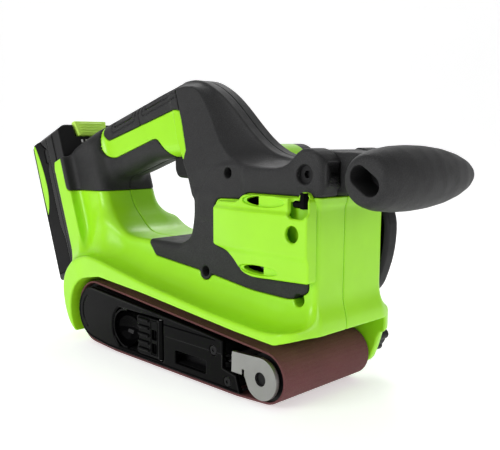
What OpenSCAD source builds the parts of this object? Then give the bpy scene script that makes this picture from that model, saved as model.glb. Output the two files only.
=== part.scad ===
// Cordless handheld belt sander for a 76 x 457 mm belt.
// X runs forward to the idler roller, Y to the drive-cover side, Z up.
// The origin is the centre of the sanding face, midway between the roller axes.

/* [Belt] */
// Distance between the drum and roller axes
wheel_base = 170; // [168:1:172]
// Width of the sanding belt
belt_w = 76.2; // [75:0.1:77]
// Thickness of the sanding belt
belt_t = 1.2; // [1:0.1:1.4]
// Radius over the belt at the drive drum
drum_r = 22.4; // [21.8:0.1:22.6]
// Radius over the belt at the front roller
roller_r = 15; // [14.6:0.1:15.2]
// Height of the drum bottom above the sanding face
drum_lift = 1.5; // [1:0.1:2]
// Height of the roller bottom above the sanding face
roller_lift = 1.4; // [1:0.1:2]
// Front and rear ends of the platen
platen_front = 62; // [58:1:63]
platen_rear = -60; // [-62:1:-56]

/* [Housing] */
// Near and far faces of the skirt
skirt_near = 44.5; // [44:0.5:46]
skirt_far = 45; // [44.5:0.5:46]
// Near and far faces of the motor block
block_near = 24; // [23.5:0.5:25]
block_far = 37; // [36.5:0.5:38]
// Wall thickness of the plastic shells
wall = 3; // [2.5:0.5:3]
// Half width of the rear handle
grip_half = 16; // [15:0.5:17]
// Half width of the neck in front of the handle
neck_half = 21; // [20.5:0.5:22]

/* [Front handle] */
// Hinge axis of the front handle
hinge_x = 102; // [101:0.5:103]
hinge_z = 129; // [128:0.5:130]
// Reach from the hinge to the grip's axis
grip_reach = 48; // [46:1:50]

/* [Motor] */
// Motor axis
motor_x = 72; // [71:0.5:73]
motor_z = 92; // [91:0.5:93]
// Teeth on the motor and drum pulleys, at a 3 mm pitch
motor_teeth = 16; // [16:1:17]
drum_teeth = 36; // [34:1:36]

/* [Battery] */
// Width, length and depth of the pack
pack_w = 60; // [58:1:61]
pack_l = 116; // [112:1:118]
pack_d = 44; // [43:0.5:44]
// Lean of the pack from the vertical
pack_tilt = 20; // [19:0.5:21]

/* [Clearances] */
// Gap between parts that move past each other
gap = 0.3; // [0.2:0.05:0.4]
// Radial clearance of a shaft that turns in its bore
run = 0.05; // [0.02:0.01:0.09]

/* [Hidden] */
$fn = 48;
small = 0.01;
belt_half = belt_w / 2;
drum_x = -wheel_base / 2;
drum_z = drum_r + drum_lift;
roller_x = wheel_base / 2;
roller_z = roller_r + roller_lift;
tooth_pitch = 3;
motor_pulley_r = motor_teeth * tooth_pitch / (2 * PI);
drum_pulley_r = drum_teeth * tooth_pitch / (2 * PI);
green = [0.62, 0.90, 0.12];
charcoal = [0.24, 0.24, 0.25];
black = [0.07, 0.07, 0.075];
steel = [0.45, 0.45, 0.44];
bright = [0.75, 0.75, 0.76];
brown = [0.38, 0.25, 0.25];
copper = [0.72, 0.43, 0.20];

// Shaft, bearing and screw radii
motor_shaft_r = 4;
drum_shaft_r = 5;
axle_r = 4;
bearing_r = 11;
roller_bearing_r = 9.5;
bolt_r = 3;
pin_r = 1.55;
screw_r = 2;
screw_head_r = 3.6;

// Planes across the drive side
plate_y0 = 39;
plate_y1 = 41.2;
pulley_y0 = 42;
pulley_y1 = 48.2;
cover_y1 = 51;

// Bores of the dust outlet
port_x = 22;
port_z = 127;
port_r = 18;
port_bore_r = 15;

// Lower rear corner of the battery pack
pack_x = -149.8;
pack_z = 36;

// ---------- outlines and small helpers ----------

// Points along an arc
function arc(cx, cz, r, from, to, steps = 12) =
  [for (i = [0:steps]) let (a = from + (to - from) * i / steps) [cx + r * cos(a), cz + r * sin(a)]];

function along(a, b, d) = a + (b - a) * d / norm(b - a);

// A polygon given as [x, z, reach] corners, each rounded over its reach, which stops short of
// the middle of each edge
half_edge = 0.48;
function rounded(corners, steps = 5) =
  [for (i = [0:len(corners) - 1])
    let (
      n = len(corners),
      p = [corners[i][0], corners[i][1]],
      before = [corners[(i + n - 1) % n][0], corners[(i + n - 1) % n][1]],
      after = [corners[(i + 1) % n][0], corners[(i + 1) % n][1]],
      reach = max(corners[i][2], small),
      a = along(p, before, min(reach, half_edge * norm(before - p))),
      b = along(p, after, min(reach, half_edge * norm(after - p)))
    )
    for (k = [0:corners[i][2] > 0 ? steps : 0])
      let (t = corners[i][2] > 0 ? k / steps : 0)
      corners[i][2] > 0 ? (1 - t) * (1 - t) * a + 2 * t * (1 - t) * p + t * t * b : p];

// The taut loop round two circles, first circle at the rear
function loop(c1, r1, c2, r2, steps = 16) =
  let (
    d = c2 - c1,
    lean = atan2(d[1], d[0]),
    wrap = acos((r1 - r2) / norm(d))
  )
  concat(
    arc(c1[0], c1[1], r1, lean + wrap, lean + 360 - wrap, steps),
    arc(c2[0], c2[1], r2, lean - wrap, lean + wrap, steps)
  );

// Extrude an X-Z outline from y0 to y1
module slab(outline, y0, y1) {
  translate([0, y1, 0]) rotate([90, 0, 0]) linear_extrude(y1 - y0) polygon(outline);
}

// A box between two corners
module block(low, high) {
  translate(low) cube(high - low);
}

// A cylinder along Y
module rod(x, z, r, y0, y1) {
  translate([x, y0, z]) rotate([-90, 0, 0]) cylinder(h = y1 - y0, r = r);
}

// A ring along Y
module ring(x, z, outer, inner, y0, y1) {
  difference() {
    rod(x, z, outer, y0, y1);
    rod(x, z, inner, y0 - 1, y1 + 1);
  }
}

// The battery's leaning frame: x forward into the tool, z along the pack
module pack_frame() {
  translate([pack_x, 0, pack_z]) rotate([0, -pack_tilt, 0]) children();
}

// ---------- outlines of the belt run ----------

// The belt's loop, drawn in by a distance from its outer face
function belt_outline(inset) =
  let (
    d = [roller_x - drum_x, roller_z - drum_z],
    top = atan2(d[1], d[0]) + acos((drum_r - roller_r) / norm(d)),
    rear = [platen_rear - drum_x, -drum_z],
    front = [platen_front - roller_x, -roller_z],
    rear_turn = atan2(rear[1], rear[0]) - acos(drum_r / norm(rear)),
    front_turn = atan2(front[1], front[0]) + acos(roller_r / norm(front))
  )
  concat(
    arc(drum_x, drum_z, drum_r - inset, top, rear_turn + 360, 20),
    [[platen_rear, inset], [platen_front, inset]],
    arc(roller_x, roller_z, roller_r - inset, front_turn, top, 16)
  );

// Open space that the belt runs in, under the skirt
tunnel_r = drum_r + 3.1;
tunnel_outline = concat(
  arc(drum_x, drum_z, tunnel_r, 100, 250, 16),
  [[-80, -9], [140, -9], [140, 41.5], [108, 41.5], [96, 38], [66, 40], [-23, 48.6], [-72, 52]]
);

// Outer edge of the skirt and its rear fender
skirt_outline = rounded([
  [-94, 5.5, 0], [-104, 5.5, 5], [-114, 13, 6], [-121.5, 30, 10], [-118, 48, 7], [-107, 59, 7],
  [-92, 65.5, 8], [-78, 65, 6], [-20, 55.4, 8], [46, 47.2, 8], [88, 44, 6], [108, 46.5, 2],
  [108, 34, 0], [40, 20, 0]
]);

// Far side wall, which reaches down beside the belt
far_wall_outline = rounded([
  [-94, 8, 0], [-104, 6, 5], [-114, 13, 6], [-121.5, 30, 10], [-118, 48, 7], [-107, 59, 7],
  [-92, 65, 7], [104, 50, 4], [106, 28, 10], [99, 11, 5], [80, 8, 5]
]);

// Ledge between the skirt and the body
ledge_outline = rounded([
  [-104, 45, 2], [-108, 60, 3], [-60, 71, 10], [48, 60, 10], [107, 58, 3], [107.6, 35, 0], [40, 30, 0]
]);

// Body under and in front of the hand opening
body_outline = rounded([
  [-104, 40, 0], [-104, 66, 6], [-95, 87, 2], [-85, 90, 5], [-66, 80, 10], [-6, 80, 4],
  [5, 86, 4], [8, 100, 4], [8, 117, 0], [110, 117, 0], [109, 60, 4], [107.8, 36, 0]
]);

// Rear handle, leaning up and forward
grip_outline = rounded([
  [-137, 138, 3], [-131, 149, 5], [-112, 156.5, 8], [-38, 178.5, 6], [-14, 185, 5], [2, 172, 2],
  [0, 138, 2], [-24, 136, 4], [-47, 134, 6], [-78, 124, 8], [-97, 119, 5], [-112, 106, 2]
]);

// Neck that sweeps down from the handle to the front bracket
neck_outline = rounded([
  [-26, 183, 4], [-8, 187, 6], [8, 183, 6], [26, 171, 8], [44, 155, 8], [58, 143.5, 8],
  [70, 138, 6], [88, 137, 2], [88, 112, 2], [7, 112, 2], [2, 127, 6], [-14, 150, 4]
]);

// Front bracket that carries the handle hinge
bracket_r = 13.5;
bracket_outline = concat(
  [[56, 114], [56, 130], [72, 130.5], [86, 131], [92.5, 133], [96.5, 137.5], [98.5, 140.5]],
  arc(hinge_x, hinge_z, bracket_r, 100, -20, 10),
  [[109, 114]]
);

// Regions of the shell that carry the dark overmould, in side view
hood_region = [
  [-24, 200], [140, 200], [140, 117], [58.5, 117], [53, 112.9], [33, 112.4], [30, 109.5],
  [30, 83.5], [42, 81.5], [50, 76.5], [56, 70.5], [65, 68.5], [104, 70.5], [104, 65],
  [92, 59], [60, 60], [26, 64.6], [-31, 70], [-40, 80], [-40, 84.5],
  [-4, 84.5], [-5.5, 125], [-1.5, 141], [-13, 166]
];
// The same on the far side, where it stays clear of the dust outlet
hood_region_far = [
  [-24, 200], [140, 200], [140, 117], [46, 117], [44, 112], [40, 82], [47, 75], [58, 66.5],
  [104, 70], [104, 65], [92, 59], [60, 60], [26, 64.6], [-31, 70], [-40, 80], [-40, 84.5],
  [-4, 84.5], [-5.5, 125], [-1.5, 141], [-13, 166]
];
palm_region = [
  [-112, 172], [-104, 151], [-98, 146.6], [-19, 167.5], [-13, 166], [-24, 200], [-112, 200]
];
finger_region = [
  [-129.3, 109.4], [-80, 110.5], [-70, 124], [-47, 128], [-23.5, 131], [-23.5, 134.5],
  [-40, 149], [-89, 134.5], [-98, 135], [-103, 139.5], [-105, 147], [-113, 172], [-150.9, 170]
];

// ---------- the outer shell ----------

// Height that the receptacle's side walls reach along the pack
strip_top = 88;
column_top = 94;
pocket_half = pack_w / 2 + 0.4;
floor_x = pack_d + 0.5;

module pack_column() {
  pack_frame() {
    block([floor_x, -25, 6], [78, 25, column_top]);
    block([floor_x, -pocket_half - wall, -7], [floor_x + 4, pocket_half + wall, strip_top]);
    block([33, -pocket_half - wall, -7], [floor_x + small, pocket_half + wall, strip_top]);
  }
}

// Hard core of the handle, under its soft grips
module grip_core() {
  slab(rounded([[-130, 139, 2], [-125, 147, 4], [-112, 153, 6], [-38, 175.5, 4], [-12, 183, 3],
    [0, 165, 2], [0, 139, 2], [-24, 138, 2], [-47, 136, 4], [-79, 126, 6], [-99, 120, 4], [-112, 108, 2]]),
    -14.3, 14.3);
  pack_frame() block([floor_x, -23.2, 4], [76.5, 23.2, column_top - 2.5]);
}

// The part of a region that is soft grip, outside the hard core
module grip_skin(region) {
  difference() {
    slab(region, -80, 80);
    grip_core();
  }
}

module pack_pocket() {
  pack_frame() block([-20, -pocket_half, -0.5], [floor_x, pocket_half, 160]);
}

module handle_swing_room() {
  rod(hinge_x, hinge_z, bracket_r + 0.2, -11.2, 22.2);
  block([hinge_x - bracket_r - 0.2, -11.2, hinge_z], [130, 22.2, 150]);
  block([hinge_x, -11.2, 117], [130, 22.2, 150]);
}

// Bay for the motor and the drive parts inside the shell
module bay() {
  difference() {
    union() {
      block([14, -block_near + wall, 57], [105, block_far - wall, 115]);
      block([-90, -block_near + wall, 58], [15, block_far - wall, 76.5]);
      block([11.5, -18, 70], [16, 18, 116]);
      slab(rounded([[-12, 181, 4], [4, 178, 4], [24, 166, 6], [42, 150, 6], [56, 137.5, 3],
        [56, 113, 0], [11.5, 113, 0], [7, 130, 4], [-8, 150, 2]]), -17, 17);
      slab(rounded([[-128, 138, 2], [-118, 148, 4], [-38, 173, 4], [-11, 180, 2], [-6, 142, 2],
        [-24, 140, 2], [-48, 138, 4], [-80, 128, 4], [-96, 123, 2], [-112, 112, 2]]), -12.5, 12.5);
      pack_frame() block([floor_x + 4, -21, 16], [75, 21, 90]);
    }
    // Screw bosses and the plates that hold the stator and the bearing
    for (p = boss_places) rod(p[0], p[1], boss_r, -40, 40);
    difference() {
      union() {
        block([44, -12, 50], [106, -9, 116]);
        block([44, 6, 50], [106, 9, 116]);
      }
      rod(motor_x, motor_z, 22.85, -13, 10);
    }
    ring(motor_x, motor_z, 13.6, bearing_r, -block_near, -16.4);
  }
}

boss_r = 5.4;
boss_places = [[20, 66], [97, 63], [41, 128], [-84, 66], [-98, 141]];

module screw_holes() {
  for (p = boss_places) {
    rod(p[0], p[1], screw_r + 0.1, -50, 14);
    rod(p[0], p[1], screw_head_r + 0.3, -50, -12);
  }
}

module shell() {
  difference() {
    union() {
      slab(skirt_outline, -skirt_near, skirt_far);
      slab(far_wall_outline, plate_y0, skirt_far);
      slab(ledge_outline, -36, plate_y0);
      slab(body_outline, -block_near, block_far);
      slab(grip_outline, -grip_half, grip_half);
      slab(neck_outline, -neck_half, neck_half);
      slab(bracket_outline, -block_near, block_far);
      intersection() {
        slab(bracket_outline, -26, 0);
        block([40, -40, 116.8], [140, 1, 150]);
      }
      pack_column();
    }
    slab(tunnel_outline, -60, plate_y0);
    pack_pocket();
    bay();
    handle_swing_room();
    screw_holes();
    // Slot for the trigger, its pin, and the lock button's hole
    block([-38.5, -7.5, 116], [-5.5, 7.5, 152]);
    rod(trigger_x, trigger_z, pin_r, -20, 20);
    rod(lock_x, lock_z, lock_r + gap, 10, 20);
    // Hinge bolt, its head and its nut
    rod(hinge_x, hinge_z, bolt_r + run, -30, 33.6);
    rod(hinge_x, hinge_z, 5.6, -30, -19.8);
    translate([hinge_x, 29, hinge_z]) rotate([-90, 0, 0]) cylinder(h = 20, r = 5.8, $fn = 6);
    // Drive cover recess and the far bearing's way through
    slab(cover_recess, block_far + 0.2, 60);
    rod(motor_x, motor_z, 14, 30, 60);
    // Dust outlet
    rod(port_x, port_z, port_r + 0.1, neck_half, 60);
    rod(port_x, port_z, port_bore_r, 10, 60);
    // Air inlet behind the motor cover
    for (z = [72, 106]) block([60, -30, z], [86, -20, z + 6]);
    // Tracking screw
    rod(knob_x, knob_z, track_r + run, 30, 50);
    // Opening for the battery terminals
    pack_frame() block([floor_x - 1, -16.4, 29.6], [floor_x + 5, 16.4, 60.4]);
  }
}

module side(near) {
  intersection() {
    shell();
    if (near) block([-250, -80, -20], [250, 0, 250]);
    else block([-250, 0, -20], [250, 80, 250]);
  }
}

module green_part(near) {
  difference() {
    side(near);
    slab(near ? hood_region : hood_region_far, -80, 80);
    grip_skin(palm_region);
    grip_skin(finger_region);
  }
}

module hood_part(near) {
  intersection() {
    side(near);
    slab(near ? hood_region : hood_region_far, -80, 80);
  }
}

module soft_part(near) {
  intersection() {
    side(near);
    grip_skin(finger_region);
  }
}

module right_housing() { color(green) green_part(true); }
module left_housing() { color(green) green_part(false); }
module finger_grip_right() { color(charcoal) soft_part(true); }
module finger_grip_left() { color(charcoal) soft_part(false); }
module front_overmold_right() { color(charcoal) hood_part(true); }
module front_overmold_left() { color(charcoal) hood_part(false); }

module palm_grip() {
  color(charcoal) intersection() {
    shell();
    grip_skin(palm_region);
  }
}

// Bulged cover over the motor on the near side, with two vents
module motor_cover() {
  outline = rounded([[31, 84.5, 2], [42.5, 82.5, 3], [51, 77.5, 4], [57, 71.5, 4], [66, 69.5, 4],
    [109, 71, 2], [109.5, 116.6, 2], [59, 116.6, 3], [53.5, 112, 3], [34, 111.4, 2], [31, 108.5, 2]]);
  inner = rounded([[33.6, 87, 1], [43.5, 85, 2], [53, 80, 3], [59, 74, 3], [67, 72.2, 3],
    [106, 74, 1], [106, 113.5, 1], [60, 113.5, 2], [54.5, 109.3, 2], [35, 108.8, 1], [33.6, 107, 1]]);
  color(green) difference() {
    slab(outline, -33, -block_near - 0.05);
    slab(inner, -30.5, -20);
    block([60, -40, 106.5], [87, -28, 111.5]);
    block([62, -40, 75], [86, -28, 79.5]);
    rod(98, 96, 4.5, -40, -28);
    block([95.5, -40, 106], [108.2, -27, 120]);
  }
}

// Hexagon key clipped under the handle hinge
module hex_key() {
  color(black) {
    translate([105.2, -29.6, 111]) cylinder(h = 8.5, r = 2.4, $fn = 6);
    translate([105.2, -29.6, 113.2]) rotate([0, -90, 0]) cylinder(h = 6.5, r = 2, $fn = 6);
  }
}

module screw(x, z, head_y, tip_y) {
  difference() {
    union() {
      rod(x, z, screw_head_r, head_y, head_y + 2.6);
      rod(x, z, screw_r, head_y + 2.6, tip_y);
    }
    translate([x, head_y - 1, z]) rotate([-90, 0, 0]) cylinder(h = 2.4, r = 1.7, $fn = 6);
  }
}

module housing_screws() {
  color(steel) for (p = boss_places) screw(p[0], p[1], -14.6, 13);
}

module dust_port() {
  color(green) ring(port_x, port_z, port_r, port_bore_r, neck_half + 0.05, 52);
}

module dust_collar() {
  color(charcoal) ring(port_x, port_z, port_r, port_bore_r, 52, 62);
}

// ---------- frame inside the belt loop ----------

finger_low = [-61, -38.3, 6];
finger_high = [-3.5, -12, 33];

module base_frame() {
  plate = concat(
    arc(drum_x, drum_z, drum_r - belt_t - 2.3, 92, 268, 16),
    [[-60, 4.7], [52, 4.7], [52, 29.5]]
  );
  color(black) difference() {
    union() {
      slab([[-58, 4.7], [52, 4.7], [52, 28.5], [-58, 38.5]], -34.5, plate_y0 - small);
      slab(plate, -38.1, -34.4);
      block([51, -38.1, 4.7], [platen_front, plate_y0 - small, 9]);
    }
    block(finger_low, finger_high);
    block([-4, -40, 8], [53, -31, 22]);
    block([-54, -6, 8], [36, 34, 25]);
    rod(drum_x, drum_z, bearing_r, -40, -34);
    translate([spring_x0, 0, spring_z]) rotate([0, 90, 0]) cylinder(h = 20, r = 5.6);
  }
}

module drive_plate() {
  outline = rounded([[-103, 8, 8], [-103, 38, 8], [-80, 45, 8], [36, 106, 12], [60, 113, 8], [98, 111, 8],
    [105, 98, 8], [103, 76, 8], [90, 60, 8], [56, 58, 12], [-60, 7, 10]]);
  color(bright) difference() {
    union() {
      slab(outline, plate_y0, plate_y1);
      rod(drum_x, drum_z, 13.5, 36.5, plate_y1);
      rod(motor_x, motor_z, 13.5, 35, plate_y1);
    }
    rod(drum_x, drum_z, bearing_r, 30, 50);
    rod(motor_x, motor_z, bearing_r, 30, 50);
  }
}

module platen_plate() {
  color(bright) block([platen_rear, -37, 2.7], [platen_front, 37, 4.7 - small]);
}

module platen_pad() {
  color(charcoal) block([platen_rear, -37, belt_t], [platen_front, 37, 2.7 - small]);
}

module sanding_belt() {
  color(brown) difference() {
    slab(belt_outline(0), -belt_half, belt_half);
    slab(belt_outline(belt_t), -50, 50);
  }
}

cover_screw_places = [[45, 24], [57, 7.7]];

// Glossy plate that closes the open side of the belt loop
module side_cover() {
  outline = concat(
    arc(drum_x, drum_z, 18.6, 95, 262, 16),
    [[-66, 3], [68, 3], [64.5, 13.5], [53.5, 15.5], [53.5, 31.5], [33, 33.6]]
  );
  color(black) difference() {
    slab(outline, -41, -38.2);
    block([-61, -45, 6], [-3.6, -38, 33]);
    block([9, -45, 8], [38, -38, 16]);
    for (p = cover_screw_places) {
      rod(p[0], p[1], screw_r + 0.1, -45, -38);
      rod(p[0], p[1], 2.9, -45, -39.6);
    }
  }
}

module side_cover_screws() {
  color(black) for (p = cover_screw_places) difference() {
    union() {
      rod(p[0], p[1], 2.8, -40.6, -39.6);
      rod(p[0], p[1], screw_r, -39.6, -38.15);
    }
    translate([p[0], -42, p[1]]) rotate([-90, 0, 0]) cylinder(h = 1.9, r = 1.3, $fn = 6);
  }
}

// ---------- motor and drive ----------

stator_r = 22.8;
rotor_r = 12.8;

module motor_stator() {
  color(steel) difference() {
    ring(motor_x, motor_z, stator_r, rotor_r + 0.4, -16, 14);
    for (i = [0:5]) translate([motor_x, 0, motor_z]) rotate([0, i * 60, 0])
      translate([17.4, -20, 0]) rotate([-90, 0, 0]) cylinder(h = 40, r = 2.6);
  }
}

module motor_windings() {
  color(copper) for (i = [0:5]) translate([motor_x, 0, motor_z]) rotate([0, i * 60, 0]) {
    translate([17.4, -19, 0]) rotate([-90, 0, 0]) cylinder(h = 36, r = 2.5);
  }
}

module motor_bearings() {
  color(bright) {
    ring(motor_x, motor_z, bearing_r - small, motor_shaft_r + run, -21, -16.5);
    ring(motor_x, motor_z, bearing_r - small, motor_shaft_r + run, 35, 41);
  }
}

module motor_rotor() {
  color(steel) ring(motor_x, motor_z, rotor_r, motor_shaft_r, -15.5, 13.5);
}

module motor_shaft() {
  color(bright) rod(motor_x, motor_z, motor_shaft_r, -21, pulley_y1);
}

fan_blades = 9;

module cooling_fan() {
  color(black) {
    ring(motor_x, motor_z, 22, motor_shaft_r, 18.5, 20);
    ring(motor_x, motor_z, 7, motor_shaft_r, 20, 28);
    for (i = [0:fan_blades - 1]) translate([motor_x, 0, motor_z]) rotate([0, i * 360 / fan_blades, 0])
      translate([8.5, 20 - small, 0]) rotate([0, 25, 0]) cube([13, 8, 1.2]);
  }
}

module toothed_pulley(x, z, teeth, radius, bore) {
  color(steel) difference() {
    rod(x, z, radius, pulley_y0, pulley_y1);
    rod(x, z, bore, 30, 60);
    for (i = [0:teeth - 1]) translate([x, 30, z]) rotate([0, i * 360 / teeth, 0])
      translate([radius, 0, 0]) rotate([-90, 0, 0]) cylinder(h = 30, r = 0.75);
  }
}

module motor_pulley() {
  toothed_pulley(motor_x, motor_z, motor_teeth, motor_pulley_r, motor_shaft_r);
}

module drum_pulley() {
  toothed_pulley(drum_x, drum_z, drum_teeth, drum_pulley_r, drum_shaft_r);
}

module timing_belt() {
  drum_c = [drum_x, drum_z];
  motor_c = [motor_x, motor_z];
  color(black) difference() {
    slab(loop(drum_c, drum_pulley_r + 2, motor_c, motor_pulley_r + 2), 42.3, 47.9);
    slab(loop(drum_c, drum_pulley_r + gap, motor_c, motor_pulley_r + gap), 40, 50);
  }
}

module drum_shaft() {
  color(bright) rod(drum_x, drum_z, drum_shaft_r, -38, pulley_y1);
}

module drum_bearings() {
  color(bright) {
    ring(drum_x, drum_z, bearing_r - small, drum_shaft_r + run, -38.1, -34.5);
    ring(drum_x, drum_z, bearing_r - small, drum_shaft_r + run, 36.6, 41);
  }
}

module drive_drum() {
  color(black) difference() {
    rod(drum_x, drum_z, drum_r - belt_t - gap, -34, 36);
    rod(drum_x, drum_z, drum_shaft_r, -40, 40);
    ring(drum_x, drum_z, 17, 9, -35, -12);
    ring(drum_x, drum_z, 17, 14, 24, 37);
  }
}

cover_outline = rounded([[-107.8, 1.6, 16], [-107.8, 44, 12], [-82, 50, 8], [32, 110, 14], [58, 119, 8],
  [100, 118, 8], [112, 104, 10], [111, 80, 12], [103, 58, 6], [92, 49, 6], [56, 48, 14], [-62, 1.6, 14]]);
cover_inner = rounded([[-105.4, 3.8, 14], [-105.4, 42, 12], [-81, 47.6, 8], [33, 107.4, 14], [59, 116, 8],
  [99, 115, 8], [109, 103, 10], [108, 80, 12], [101, 60, 5], [91, 52, 5], [56, 51, 14], [-64, 3.8, 14]]);
cover_recess = rounded([[-108.2, 1.2, 16], [-108.2, 44.4, 12], [-82, 50.4, 8], [32, 110.4, 14],
  [58, 119.4, 8], [100.4, 118.4, 8], [112.4, 104, 10], [111.4, 80, 12], [103.4, 57.6, 6],
  [92, 48.6, 6], [56, 47.6, 14], [-62, 1.2, 14]]);
cover_screw_xz = [[-40, 66], [104.6, 92], [48, 54], [-66, 9]];

// Cover over the toothed belt on the far side
module belt_cover() {
  color(charcoal) difference() {
    union() {
      slab(cover_outline, plate_y0 + 0.2, cover_y1);
      intersection() {
        slab(cover_outline, block_far + gap, plate_y0 + gap);
        block([48, 30, 56], [150, 60, 150]);
      }
    }
    slab(cover_inner, 30, cover_y1 - 2.2);
    for (p = cover_screw_xz) rod(p[0], p[1], screw_r, 30, 60);
  }
}

module belt_cover_screws() {
  color(steel) for (p = cover_screw_xz) rod(p[0], p[1], screw_r, cover_y1 - 2.2, cover_y1 + 0.6);
}

// ---------- front roller and its tension fork ----------

module front_roller() {
  color(black) difference() {
    rod(roller_x, roller_z, roller_r - belt_t - gap, -36.5, 36.5);
    rod(roller_x, roller_z, 6, -40, 40);
    rod(roller_x, roller_z, roller_bearing_r, -40, -29);
    rod(roller_x, roller_z, roller_bearing_r, 29, 40);
  }
}

module roller_bearings() {
  color(bright) {
    ring(roller_x, roller_z, roller_bearing_r - small, axle_r + run, -36, -29);
    ring(roller_x, roller_z, roller_bearing_r - small, axle_r + run, 29, 36);
  }
}

module roller_axle() {
  color(steel) rod(roller_x, roller_z, axle_r, -40.6, 38.7);
}

arm_r = 12;

// Steel fork: the near arm is the hooked plate beside the roller
module roller_fork() {
  hook = concat(
    [[62, 15.6], [62.6, 27.6]],
    arc(roller_x, roller_z, arm_r, 90, -140, 24),
    [[72.5, 15.6], [72.5, 19], [70.5, 19], [70.5, 15.6]]
  );
  color(steel) difference() {
    union() {
      slab(hook, -42, -39.5);
      rod(roller_x, roller_z, 10, 37.2, 38.7);
      block([58, 37.2, 16], [roller_x, 38.7, 24]);
      block([58, -38, 16], [68, 38.7, 24]);
      block([62.5, -39.6, 16], [68, -37, 24]);
    }
    rod(roller_x, roller_z, axle_r, -50, 50);
    translate([56, -35, rod_z]) rotate([0, 90, 0]) cylinder(h = 8, r = rod_r);
  }
}

rod_r = 1.5;
rod_z = 18.4;

// Rod that the release lever pulls
module pull_rod() {
  color(bright) translate([-2, -35, rod_z]) rotate([0, 90, 0]) cylinder(h = 66, r = rod_r);
}

spring_x0 = 38;
spring_z = 20;
spring_turns = 7;

module tension_spring() {
  pitch = (58 - spring_x0 - 1.4) / (spring_turns - 1);
  color(steel) for (i = [0:spring_turns - 1])
    translate([spring_x0 + 0.7 + i * pitch, 0, spring_z]) rotate([0, 90, 0])
      rotate_extrude() translate([4, 0]) circle(r = 0.7);
}

lever_x = -6.3;
lever_y = -39.6;

// Lever that swings out to slacken the belt
module release_lever() {
  color(black) difference() {
    union() {
      block([-31, -41.6, 6.4], [lever_x, -38.4, 32.6]);
      translate([lever_x, lever_y, 6.4]) cylinder(h = 26.2, r = 2.2);
      for (i = [0:3]) block([-28, -42.4, 10 + i * 5.6], [-16, -41.5, 12 + i * 5.6]);
    }
    translate([lever_x, lever_y, 0]) cylinder(h = 40, r = 1.1 + run);
    for (z = [9.5, 18.5]) block([-14, -45, z], [-9.5, -30, z + 6]);
  }
}

module lever_pin() {
  color(steel) translate([lever_x, lever_y, 6]) cylinder(h = 27, r = 1.1);
}

knob_x = 90;
knob_z = 26;
track_r = 3;

module tracking_knob() {
  color(charcoal) difference() {
    union() {
      rod(knob_x, knob_z, 10.4, skirt_far + 1, skirt_far + 11);
      for (i = [0:5]) translate([knob_x, 0, knob_z]) rotate([0, i * 60, 0])
        translate([9, skirt_far + 1, 0]) rotate([-90, 0, 0]) cylinder(h = 10, r = 3.2);
    }
    rod(knob_x, knob_z, track_r, 30, skirt_far + 9);
  }
}

module tracking_screw() {
  color(bright) rod(knob_x, knob_z, track_r, plate_y0, skirt_far + 9);
}

// ---------- front handle ----------

// Radius of the palm grip along its length
grip_profile = [[0, -40], [11.5, -40], [13.2, -38], [14.8, -30], [16.2, -18], [16.7, -5], [16.3, 9],
  [14.9, 24], [12.6, 37], [9.6, 48], [6.4, 55.5], [3.2, 60], [0, 61.5]];

module front_handle() {
  grip_x = hinge_x + grip_reach;
  grip_z = hinge_z - 1;
  arm = rounded([[hinge_x, 117.4, 0], [hinge_x, 141.3, 0], [128, 141, 8], [146, 136, 4], [146, 119, 4],
    [126, 117.4, 6]]);
  color(charcoal) difference() {
    union() {
      rod(hinge_x, hinge_z, 12.4, -10.9, 21.9);
      slab(arm, -9, 19);
      translate([grip_x, 0, grip_z]) rotate([-90, 0, 0]) rotate_extrude() polygon(grip_profile);
    }
    rod(hinge_x, hinge_z, bolt_r + run, -20, 30);
    translate([grip_x, 0, grip_z]) rotate([0, 35, 0]) {
      for (x = [-4, 4]) rod(x, 0, 5, -45, -22);
      block([-4, -45, -5], [4, -22, 5]);
    }
  }
}

module pivot_bolt() {
  color(steel) difference() {
    union() {
      rod(hinge_x, hinge_z, 5.4, -23.5, -19.8);
      rod(hinge_x, hinge_z, bolt_r, -19.9, 33.4);
    }
    translate([hinge_x, -25, hinge_z]) rotate([-90, 0, 0]) cylinder(h = 3.8, r = 2.3, $fn = 6);
  }
}

module pivot_nut() {
  color(steel) difference() {
    translate([hinge_x, 29, hinge_z]) rotate([-90, 0, 0]) cylinder(h = 4.2, r = 5.7, $fn = 6);
    rod(hinge_x, hinge_z, bolt_r, 20, 40);
  }
}

// ---------- controls and electronics ----------

trigger_x = -11;
trigger_z = 143;

module trigger() {
  outline = rounded([[-31.5, 127, 2.5], [-28.5, 122, 3], [-12, 121.5, 4], [-9, 130, 4], [-7, 146.5, 2],
    [-19, 147, 2], [-28, 143, 3], [-31.5, 137, 3]]);
  color(black) difference() {
    slab(outline, -7.1, 7.1);
    rod(trigger_x, trigger_z, pin_r + run, -10, 10);
  }
}

module trigger_pin() {
  color(steel) rod(trigger_x, trigger_z, pin_r, -12.4, 12.4);
}

lock_x = -28;
lock_z = 154;
lock_r = 5;

module lock_button() {
  color(black) rod(lock_x, lock_z, lock_r, 12, 18.5);
}

module switch_body() {
  color(black) slab([[-54, 151], [-13, 152], [-13, 170], [-36, 168.5], [-54, 163]], -9, 9);
}

module controller_board() {
  color([0.1, 0.35, 0.2]) block([-66, -18, 60], [-4, 28, 61.6]);
}

module heat_sink() {
  color(bright) {
    block([-56, -12, 61.6], [-18, 22, 64]);
    for (i = [0:7]) block([-56, -12 + i * 4.6, 63.9], [-18, -10.4 + i * 4.6, 72]);
  }
}

module terminal_block() {
  color(black) pack_frame() {
    block([floor_x - 0.2, -16, 30], [floor_x + 8, 16, 60]);
    for (y = [-10, 0, 10]) block([pack_d - 2.4, y - 0.5, 40], [floor_x, y + 0.5, 54]);
  }
}

// ---------- battery ----------

case_d = 33;
skin = 3;

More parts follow.
